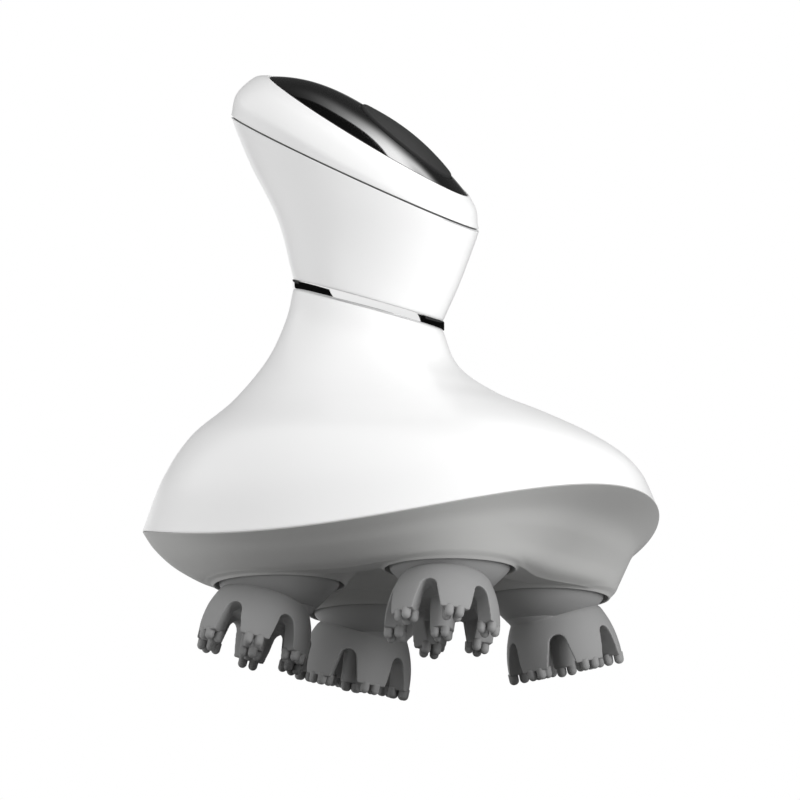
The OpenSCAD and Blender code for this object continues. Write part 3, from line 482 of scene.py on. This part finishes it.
# %% Find the height of the bowl over the plan
SPINDLES = [(GRID_X + sx * HALF_PITCH, sy * HALF_PITCH)
            for sx, sy in ((-1, -1), (1, -1), (1, 1), (-1, 1))]
UNDER = LIP + 0.5
HOLLOW = 2.5
OPENING, LIP_R = 13.9, 14.2
BASE_ROWS = [(0, 0, 0), (0.10, 0.15, 0.25), (0.30, 0.26, 0.53), (0.50, 0.40, 0.73),
             (0.75, 0.60, 0.90), (1, 1, 1)]
FINE = np.radians(np.arange(0, 360, 1.2))


def under_reach(angle):
    return HALF_PITCH * math.sqrt(2) + OPENING - 6 * (1 + np.cos(4 * angle))


def bowl_row(t):
    """One outline of the bowl, from the underside's edge, t = 0, to the seam, t = 1."""
    h, out_far, out_near = curve_through(BASE_ROWS, t)
    reach = under_reach(FINE)
    out = mix(out_near, out_far, (1 + np.cos(FINE)) / 2)
    x = mix(GRID_X + reach * np.cos(FINE), BODY_LEN / 2 * np.cos(FINE), out)
    y = mix(reach * np.sin(FINE), BODY_WID / 2 * np.sin(FINE), out)
    z = mix(UNDER, SEAM - 0.2 + seam_lift(FINE), h)
    return np.stack([x, y, z], -1)


def blended(points, soft=2.2):
    """Draws the bowl down to the lips along a cone round each opening, with a soft hollow between."""
    points = points.copy()
    for cx, cy in SPINDLES:
        r = np.hypot(points[:, 0] - cx, points[:, 1] - cy)
        rise = np.maximum(r, LIP_R - 0.2) - LIP_R
        rise *= 1.2 + 0.25 * rise
        width = np.clip(rise, 0.02, soft)
        share = np.clip(0.5 + 0.5 * (points[:, 2] - LIP - rise) / width, 0, 1)
        points[:, 2] = mix(points[:, 2], LIP + rise, share) - width * share * (1 - share)
    return points


def apply_step(thing, kind, **settings):
    """Runs one modifier and keeps its result as the plain mesh."""
    step = thing.modifiers.new(kind.lower(), kind)
    for key, value in settings.items():
        setattr(step, key, value)
    bpy.context.view_layer.update()
    made = bpy.data.meshes.new_from_object(thing.evaluated_get(bpy.context.evaluated_depsgraph_get()))
    thing.modifiers.clear()
    thing.data = made
    return thing


# %% Loft the bowl
rows = []
flat = bowl_row(0)
for share in np.linspace(0.02, 0.99, 64):
    ring = flat.copy()
    ring[:, 0] = mix(GRID_X, flat[:, 0], share)
    ring[:, 1] *= share
    ring[:, 2] = UNDER + HOLLOW * np.interp(share, (0.4, 0.55, 0.68, 0.8, 1.0), (1, 0.9, 0.45, 0.05, 0))
    rows.append(blended(ring))
rows += [blended(bowl_row(t)) for t in np.linspace(0, 1, 72)]
rows = np.array(rows)
count, n = rows.shape[0], rows.shape[1]
faces = []
for j in range(count - 1):
    faces += [(j * n + i, j * n + (i + 1) % n, (j + 1) * n + (i + 1) % n, (j + 1) * n + i)
              for i in range(n)]
top = count * n
faces += [(top, (i + 1) % n, i) for i in range(n)]
points = np.vstack([rows.reshape(-1, 3), [GRID_X, 0, UNDER + HOLLOW]])
base_bowl = mesh_object("base_bowl", points, faces)
work = bmesh.new()
work.from_mesh(base_bowl.data)
bmesh.ops.recalc_face_normals(work, faces=work.faces)
plan_middle = Vector((GRID_X * MM, 0, 0))
middle_face = min(work.faces, key=lambda f: (f.calc_center_median() - plan_middle).length)
if middle_face.normal.z > 0:
    bmesh.ops.reverse_faces(work, faces=work.faces)
work.to_mesh(base_bowl.data)
work.free()
apply_step(base_bowl, "SOLIDIFY", thickness=1.0 * MM, offset=-1.0)
for cx, cy in SPINDLES:
    column = [[(cx + LIP_R * math.cos(a), cy + LIP_R * math.sin(a), z)
               for a in np.radians(np.arange(0, 360, 2.5))] for z in (LIP - 5, LIP + 12)]
    cutter = loft("column", column, closed=False, poles=([cx, cy, LIP - 5], [cx, cy, LIP + 12]))
    apply_step(base_bowl, "BOOLEAN", operation="DIFFERENCE", solver="EXACT", object=cutter)
    bpy.data.objects.remove(cutter)
base_bowl.data.shade_smooth()
base_bowl.data.set_sharp_from_angle(angle=math.radians(38))
place(base_bowl, "housing", "base_grey", base_satin, "base_cover")

# %% [markdown]
# Behind each hole a cup-shaped recess takes the collar. The four are the same turned shape. Geometry
# Nodes suit a repeated piece: the profile is spun once, set on a point for each spindle, and made
# real at the end.

# %% Helpers for Geometry Nodes


def node_tree(name, inputs):
    """A geometry tree with named inputs. Returns the tree, its input node and its output node."""
    tree = bpy.data.node_groups.new(name, "GeometryNodeTree")
    tree.interface.new_socket(name="Geometry", in_out="INPUT", socket_type="NodeSocketGeometry")
    for label, kind, value in inputs:
        socket = tree.interface.new_socket(name=label, in_out="INPUT", socket_type=kind)
        if value is not None:
            socket.default_value = value
    tree.interface.new_socket(name="Geometry", in_out="OUTPUT", socket_type="NodeSocketGeometry")
    return tree, tree.nodes.new("NodeGroupInput"), tree.nodes.new("NodeGroupOutput")


def run_tree(thing, tree, values):
    """Runs a tree on an object and keeps the result as its plain mesh."""
    step = thing.modifiers.new("repeat", "NODES")
    step.node_group = tree
    for item in tree.interface.items_tree:
        if item.in_out == "INPUT" and item.name in values:
            step[item.identifier] = values[item.name]
    bpy.context.view_layer.update()
    made = bpy.data.meshes.new_from_object(thing.evaluated_get(bpy.context.evaluated_depsgraph_get()))
    thing.modifiers.clear()
    thing.data = made
    return thing


def on_points_tree(name):
    """Sets a copy of one object on every point. All the copies get the same turn, in XYZ angles."""
    tree, entry, exit_ = node_tree(name, [("Piece", "NodeSocketObject", None),
                                          ("Turn", "NodeSocketVector", (0, 0, 0)),
                                          ("Finish", "NodeSocketMaterial", None)])
    piece = tree.nodes.new("GeometryNodeObjectInfo")
    turn = tree.nodes.new("FunctionNodeEulerToRotation")
    copies = tree.nodes.new("GeometryNodeInstanceOnPoints")
    real = tree.nodes.new("GeometryNodeRealizeInstances")
    paint = tree.nodes.new("GeometryNodeSetMaterial")
    tree.links.new(entry.outputs["Piece"], piece.inputs["Object"])
    tree.links.new(entry.outputs["Turn"], turn.inputs["Euler"])
    tree.links.new(entry.outputs["Geometry"], copies.inputs["Points"])
    tree.links.new(piece.outputs["Geometry"], copies.inputs["Instance"])
    tree.links.new(turn.outputs["Rotation"], copies.inputs["Rotation"])
    tree.links.new(copies.outputs["Instances"], real.inputs["Geometry"])
    tree.links.new(real.outputs["Geometry"], paint.inputs["Geometry"])
    tree.links.new(entry.outputs["Finish"], paint.inputs["Material"])
    tree.links.new(paint.outputs["Geometry"], exit_.inputs["Geometry"])
    return tree


def spun(name, profile, steps=144):
    """A closed shape turned about Z from a closed profile of (radius, height) points."""
    angles = np.linspace(0, 2 * math.pi, steps, endpoint=False)
    rows = [np.stack([r * np.cos(angles), r * np.sin(angles), np.full(steps, z)], -1)
            for r, z in profile]
    return loft(name, rows)


# %% Spin one recess and set it on the four spindles
profile = [(OPENING + 0.12, 0.0), (LIP_R - 0.06, 0.0), (LIP_R + 0.01, 0.05), (LIP_R + 0.2, 0.9)]
profile += [(LIP_R + 1.1, 2.2), (LIP_R + 1.6, 3.0), (LIP_R + 3.0, 6.5)]
profile += [(6.1, 6.5), (6.1, 4.5), (OPENING - 0.6, 4.5), (OPENING - 0.15, 4.35), (OPENING, 3.9)]
profile += [(OPENING, 0.3), (OPENING + 0.03, 0.1)]
one_boss = spun("one_boss", profile)
boss_rings = mesh_object("boss_rings", [(x, y, LIP) for x, y in SPINDLES], [])
tree = on_points_tree("boss_on_spindles")
run_tree(boss_rings, tree, {"Piece": one_boss, "Finish": base_satin})
bpy.data.objects.remove(one_boss)
place(boss_rings, "housing", "base_grey", base_satin, "base_cover")

# %% [markdown]
# ## The kneading heads
# Each head is a hard collar with a soft cup pulled over it. The cup is a bell cut by six arches, which
# leave six claws round a middle post. It is drawn once in its own frame, with the swivel point at the
# origin, and each head then leans it its own way.

# %% Draw the bell and its arches
TILT = 15.0
HEADS = [(-135, 2), (-77, 12), (68, 24), (168, 20)]
NECK_D, CLAW_D, HOLLOW_D = 13.0, 23.7, 17.0
NECK_R, CUP_R, HOLLOW_R, POST_R, POST_EXTRA = 9.9, 12.4, 8.4, 2.6, 0.4
ROUND = np.linspace(0, 2 * math.pi, 144, endpoint=False)


def ring_at(radius, height):
    return np.stack([radius * np.cos(ROUND), radius * np.sin(ROUND), np.full_like(ROUND, height)], -1)


def bell_r(d):
    return CUP_R - (CUP_R - NECK_R) * ((CLAW_D - d) / (CLAW_D - NECK_D)) ** 2.2


profile = [(NECK_R - 1.3, 1.5 - NECK_D)]
profile += [(bell_r(d), -d) for d in np.linspace(NECK_D, CLAW_D, 24)]
profile += [(HOLLOW_R, -CLAW_D), (HOLLOW_R, -HOLLOW_D - 1.5), (HOLLOW_R - 1.5, -HOLLOW_D)]
profile += [(POST_R + 0.4, -HOLLOW_D), (POST_R, -CLAW_D), (POST_R, -CLAW_D - POST_EXTRA)]
bell = loft("bell", [ring_at(r, z) for r, z in profile], closed=False,
            poles=([0, 0, 1.5 - NECK_D], [0, 0, -CLAW_D - POST_EXTRA]))

ARCH_H, ARCH_W, ARCH_R = 6.8, 6.3, 1.9
arch = [(-ARCH_W / 2, -1), (ARCH_W / 2, -1), (ARCH_W / 2, 0)]
arch += [(ARCH_R * math.cos(a), ARCH_H - ARCH_R + ARCH_R * math.sin(a))
         for a in np.radians(range(10, 171, 10))]
arch += [(-ARCH_W / 2, 0)]
arches = []
for claw in range(6):
    prism = [[(x, y, z - CLAW_D) for y, z in arch] for x in (POST_R + 1.5, CUP_R + 3)]
    turn = np.array(Matrix.Rotation(math.radians(30 + 60 * claw), 3, "Z"))
    count = len(arch)
    faces = [(i, (i + 1) % count, count + (i + 1) % count, count + i) for i in range(count)]
    faces += [tuple(range(count)), tuple(range(count, 2 * count))]
    cutter = mesh_object("arch", np.array(prism).reshape(-1, 3) @ turn.T, faces, smooth=False)
    outward(cutter)
    arches.append(cutter)


for cutter in arches:
    apply_step(bell, "BOOLEAN", operation="DIFFERENCE", solver="EXACT", object=cutter)
    bpy.data.objects.remove(cutter)
print("the cut bell has", len(bell.data.polygons), "faces")

# %% [markdown]
# Soft silicone has no sharp edges. Rebuilding the cut bell from small cells and then relaxing it a
# little rounds every edge by a fraction of a millimetre, as the mould would.

# %% Lean a cup on each spindle
COLLAR_R, CONE_H = 12.9, 5.0


def cup_turn(k):
    lean, phase = HEADS[k]
    return (Matrix.Rotation(math.radians(lean), 4, "Z") @ Matrix.Rotation(math.radians(-TILT), 4, "Y")
            @ Matrix.Rotation(math.radians(phase - lean), 4, "Z"))


def pivot(k):
    return Vector((SPINDLES[k][0], SPINDLES[k][1], DECK)) * MM


def join(first, *others):
    """Adds the meshes of other objects to the first one's."""
    work = bmesh.new()
    work.from_mesh(first.data)
    for other in others:
        work.from_mesh(other.data)
        bpy.data.objects.remove(other)
    work.to_mesh(first.data)
    work.free()
    return first


for k in range(4):
    cup = bpy.data.objects.new("cup_%d" % (k + 1), bell.data.copy())
    bpy.context.scene.collection.objects.link(cup)
    cup.data.transform(Matrix.Translation(pivot(k)) @ cup_turn(k))
    lap = loft("lap", [ring_at(COLLAR_R - CONE_H - 1.2, -15.2),
                       ring_at(COLLAR_R - CONE_H, -14.0)], closed=False,
               poles=([0, 0, -15.2], [0, 0, -14.0]))
    lap.data.transform(Matrix.Translation(pivot(k)))
    join(cup, lap)
    apply_step(cup, "REMESH", mode="VOXEL", voxel_size=0.2 * MM)
    apply_step(cup, "SMOOTH", factor=0.5, iterations=3)
    cup.data.shade_smooth()
    place(cup, "head_%d" % (k + 1), "cup_silicone", silicone, "massage_cup_%d" % (k + 1))
bpy.data.objects.remove(bell)

# %% Set four nodules on every claw and on the post
NODULE_LEN, DOME_R, NODULE_STEP, CLAW_R = 2.0, 0.97, 1.15, 10.4
nodule_rows = [ring_at(r, z)[::6] for r, z in ((1.0, 0.5), (1.0, 0.0), (0.98, -0.5))]
nodule_rows += [ring_at(DOME_R * math.cos(a), DOME_R - NODULE_LEN - DOME_R * math.sin(a))[::6]
                for a in np.radians(range(0, 81, 10))]
one_nodule = loft("one_nodule", nodule_rows, closed=False, poles=([0, 0, 0.5], [0, 0, -NODULE_LEN]))
spots = []
for x in (-NODULE_STEP, NODULE_STEP):
    for y in (-NODULE_STEP, NODULE_STEP):
        spots.append((0.96 * x, 0.96 * y, -CLAW_D - POST_EXTRA))
        for claw in range(6):
            a = math.radians(60 * claw)
            spots.append(((CLAW_R + x) * math.cos(a) - y * math.sin(a),
                          (CLAW_R + x) * math.sin(a) + y * math.cos(a), -CLAW_D))
tree = on_points_tree("nodules_on_claws")
for k in range(4):
    nodules = mesh_object("nodules_%d" % (k + 1), spots, [])
    nodules.data.transform(Matrix.Translation(pivot(k)) @ cup_turn(k))
    run_tree(nodules, tree, {"Piece": one_nodule, "Turn": tuple(cup_turn(k).to_euler()),
                             "Finish": silicone})
    place(nodules, "head_%d" % (k + 1), "cup_silicone", silicone, "massage_cup_%d" % (k + 1))
bpy.data.objects.remove(one_nodule)

# %% Turn the collars
for k in range(4):
    profile = [(3.2, -13.4), (3.2, -5.4), (COLLAR_R - 0.6, -5.4), (COLLAR_R - 0.1, -5.5)]
    profile += [(COLLAR_R, -5.7), (COLLAR_R, -8.7), (COLLAR_R - 0.12, -9.05), (COLLAR_R - 0.35, -9.35)]
    profile += [(COLLAR_R - CONE_H, -14.0), (3.6, -14.0)]
    collar = spun("collar_%d" % (k + 1), profile)
    collar.data.transform(Matrix.Translation(pivot(k)))
    place(collar, "head_%d" % (k + 1), "collar_grey", collar_satin, "head_collar_%d" % (k + 1))

# %% [markdown]
# The pieces inside are rarely seen, but each still gets a finish of its own, from the record's slots.

# %% Dress the CAD solids by their slot
inner = {
    "base_grey": base_satin,
    "collar_grey": collar_satin,
    "cup_silicone": silicone,
    "gasket_rubber": finish("gasket_grey", grey(0.10), grey(0.12), (0.55, 0.70), bump=0.1),
    "seal_rubber": dark_rubber,
    "inner_plastic": finish("cradle_plastic", grey(0.26), grey(0.32), (0.5, 0.6), bump=0.1),
    "board_green": finish("solder_mask", (0.01, 0.10, 0.04), (0.015, 0.14, 0.05), (0.3, 0.4)),
    "switch_plastic": finish("switch_black", grey(0.02), grey(0.03), (0.4, 0.5)),
    "led_clear": finish("clear_resin", grey(0.75), grey(0.8), (0.1, 0.15), Transmission_Weight=0.8),
    "screw_steel": finish("zinc_plate", grey(0.5), grey(0.58), (0.3, 0.42), 300.0, Metallic=1.0),
    "battery_wrap": finish("battery_wrap", (0.04, 0.12, 0.28), (0.06, 0.15, 0.33), (0.35, 0.45)),
    "plug_rubber": finish("plug_silicone", grey(0.66), grey(0.7), (0.5, 0.6), bump=0.05),
    "motor_steel": finish("drawn_steel", grey(0.45), grey(0.5), (0.3, 0.4), 200.0, Metallic=1.0),
    "shaft_steel": finish("ground_steel", grey(0.55), grey(0.6), (0.2, 0.3), 400.0, Metallic=1.0),
    "pinion_brass": finish("brass", (0.62, 0.43, 0.16), (0.68, 0.49, 0.2), (0.25, 0.35), Metallic=1.0),
    "plate_plastic": finish("filled_nylon", (0.09, 0.1, 0.11), (0.11, 0.12, 0.13), (0.5, 0.6), bump=0.1),
    "gear_plastic": finish("acetal", (0.72, 0.70, 0.64), (0.76, 0.74, 0.68), (0.35, 0.45)),
    "bush_brass": finish("sintered_bronze", (0.48, 0.3, 0.14), (0.55, 0.36, 0.18), (0.4, 0.5), 500.0,
                         Metallic=1.0),
}
slot_of = {row["node"]: row["material_slot"] for row in frame["record"]["subparts"]}
for name, thing in nodes.items():
    if slot_of[name] in inner:
        dress(thing, inner[slot_of[name]])
print("dressed", len(nodes), "solids")

# %% [markdown]
# ## The room
# The object stands on a pale floor. The photograph looks up from below the floor's level, so the floor
# is see-through from underneath, which its material does with the Backfacing value. The background is
# white for the camera, and for the rays that mirrors and gloss send out.

# %% Make the floor
floor = mesh_object("floor", [(-1500, -1500, 0), (1500, -1500, 0), (1500, 1500, 0), (-1500, 1500, 0)],
                    [(0, 1, 2, 3)])
floor_paint = bpy.data.materials.new("floor_paint")
floor_paint.use_nodes = True
tree = floor_paint.node_tree
shader = tree.nodes["Principled BSDF"]
shader.inputs["Base Color"].default_value = (0.52, 0.52, 0.52, 1)
shader.inputs["Roughness"].default_value = 0.9
shader.inputs["Specular IOR Level"].default_value = 0.0
clear = tree.nodes.new("ShaderNodeBsdfTransparent")
side = tree.nodes.new("ShaderNodeNewGeometry")
pick = tree.nodes.new("ShaderNodeMixShader")
tree.links.new(side.outputs["Backfacing"], pick.inputs["Fac"])
tree.links.new(shader.outputs["BSDF"], pick.inputs[1])
tree.links.new(clear.outputs["BSDF"], pick.inputs[2])
tree.links.new(pick.outputs["Shader"], tree.nodes["Material Output"].inputs["Surface"])
dress(floor, floor_paint)

# %% Light the room
world = bpy.data.worlds.new("studio")
bpy.context.scene.world = world
world.use_nodes = True
tree = world.node_tree
plain = tree.nodes["Background"]
plain.inputs["Color"].default_value = (1, 1, 1, 1)
plain.inputs["Strength"].default_value = 0.68
white = tree.nodes.new("ShaderNodeBackground")
white.inputs["Color"].default_value = (1, 1, 1, 1)
white.inputs["Strength"].default_value = 1.0
path = tree.nodes.new("ShaderNodeLightPath")
most = tree.nodes.new("ShaderNodeMath")
most.operation = "MAXIMUM"
seen = tree.nodes.new("ShaderNodeMath")
seen.operation = "MAXIMUM"
pick = tree.nodes.new("ShaderNodeMixShader")
tree.links.new(path.outputs["Is Camera Ray"], most.inputs[0])
tree.links.new(path.outputs["Is Glossy Ray"], most.inputs[1])
tree.links.new(most.outputs[0], seen.inputs[0])
tree.links.new(path.outputs["Is Transmission Ray"], seen.inputs[1])
tree.links.new(seen.outputs[0], pick.inputs["Fac"])
tree.links.new(plain.outputs[0], pick.inputs[1])
tree.links.new(white.outputs[0], pick.inputs[2])
tree.links.new(pick.outputs[0], tree.nodes["World Output"].inputs["Surface"])


def toward(azimuth, elevation):
    """A direction given from the camera's side: azimuth 0 is the camera, 90 is the picture's right."""
    flat = Vector((back.x, back.y, 0)).normalized()
    a, e = math.radians(azimuth), math.radians(elevation)
    return (flat * math.cos(a) + right * math.sin(a)) * math.cos(e) + Vector((0, 0, math.sin(e)))


middle = Vector((-0.003, 0, 0.065))


def softbox(name, azimuth, elevation, distance, size, watts):
    lamp = bpy.data.objects.new(name, bpy.data.lights.new(name, "AREA"))
    lamp.data.shape = "SQUARE"
    lamp.data.size = size
    lamp.data.energy = watts
    way = toward(azimuth, elevation)
    lamp.location = middle + way * distance
    lamp.rotation_mode = "QUATERNION"
    lamp.rotation_quaternion = way.to_track_quat("Z", "Y")
    lamp.visible_glossy = False
    bpy.context.scene.collection.objects.link(lamp)
    return lamp


softbox("key", 50, 4, 1.2, 0.6, 14.0)
softbox("top", 10, 75, 1.2, 0.9, 2.0)
softbox("rim", -95, 3, 1.2, 0.5, 6.5)

# %% [markdown]
# Bright metal shows only what stands round it. Two black cards, one on each side, give the ring the
# dark ends that a photographer would place there. They are seen by reflections alone.

# %% Stand the black cards
card_paint = bpy.data.materials.new("card_paint")
card_paint.use_nodes = True
shader = card_paint.node_tree.nodes["Principled BSDF"]
shader.inputs["Base Color"].default_value = (0.005, 0.005, 0.005, 1)
shader.inputs["Roughness"].default_value = 1.0
shader.inputs["Specular IOR Level"].default_value = 0.0


def card(name, first, last, low, high, distance=0.8):
    """A bent card round the object, between two azimuths and two heights in metres."""
    points, faces = [], []
    for i, azimuth in enumerate(np.linspace(first, last, 12)):
        way = toward(azimuth, 0) * distance
        for z in (low, high):
            points.append(((middle.x + way.x) / MM, (middle.y + way.y) / MM, z / MM))
        if i:
            faces.append((2 * i - 2, 2 * i, 2 * i + 1, 2 * i - 1))
    thing = mesh_object(name, points, faces)
    dress(thing, card_paint)
    thing.visible_camera = thing.visible_diffuse = False
    thing.visible_shadow = thing.visible_transmission = False
    return thing


card("card_left", -150, -59, 0.02, 0.40)
card("card_right", 83, 178, 0.02, 0.40)

# %% [markdown]
# The polished panel mirrors what stands high behind it. The photograph shows one bright band there
# with a hard upper edge, strongest at the picture's right and fading round the back. A bent card with
# a glow of that shape gives it, and is dark elsewhere.

# %% Hang the glowing card


def glow(azimuth, elevation):
    """How bright the card is in one direction."""
    band = 6.0 * np.exp(-(np.maximum(azimuth - 115, 0) / 29) ** 2)
    band *= np.exp(-(np.maximum(64.5 - elevation, 0) / 6.3) ** 2)
    tail = 2.6 * np.exp(-((azimuth - 126) / 6) ** 2 - ((elevation - 55) / 4.5) ** 2)
    low = 0.3 * np.exp(-((azimuth - 178) / 8) ** 2 - ((elevation - 20) / 6) ** 2)
    return np.where(elevation < 68.5, band + tail + low + 0.05, 0.0)


turns = np.arange(98.0, 232.0, 2.0)
heights = np.concatenate([np.arange(14.0, 68.1, 1.5), [68.4, 68.8], np.arange(71.0, 90.0, 6.0)])
points, strengths, faces = [], [], []
for j, elevation in enumerate(heights):
    for i, azimuth in enumerate(turns):
        spot = middle + toward(azimuth, elevation) * 0.7
        points.append((spot.x / MM, spot.y / MM, spot.z / MM))
        strengths.append(float(glow(azimuth, elevation)))
        if i and j:
            n = len(turns)
            faces.append(((j - 1) * n + i - 1, (j - 1) * n + i, j * n + i, j * n + i - 1))
glow_card = mesh_object("glow_card", points, faces)
shine = glow_card.data.attributes.new("shine", "FLOAT", "POINT")
shine.data.foreach_set("value", strengths)
glow_paint = bpy.data.materials.new("glow_paint")
glow_paint.use_nodes = True
tree = glow_paint.node_tree
tree.nodes.remove(tree.nodes["Principled BSDF"])
read = tree.nodes.new("ShaderNodeAttribute")
read.attribute_name = "shine"
light = tree.nodes.new("ShaderNodeEmission")
tree.links.new(read.outputs["Fac"], light.inputs["Strength"])
tree.links.new(light.outputs["Emission"], tree.nodes["Material Output"].inputs["Surface"])
dress(glow_card, glow_paint)
glow_card.visible_camera = glow_card.visible_diffuse = False
glow_card.visible_shadow = glow_card.visible_transmission = False
print("glow card faces:", len(glow_card.data.polygons))

# %% Set the picture's tones
import json

bpy.context.scene.view_settings.view_transform = "Standard"
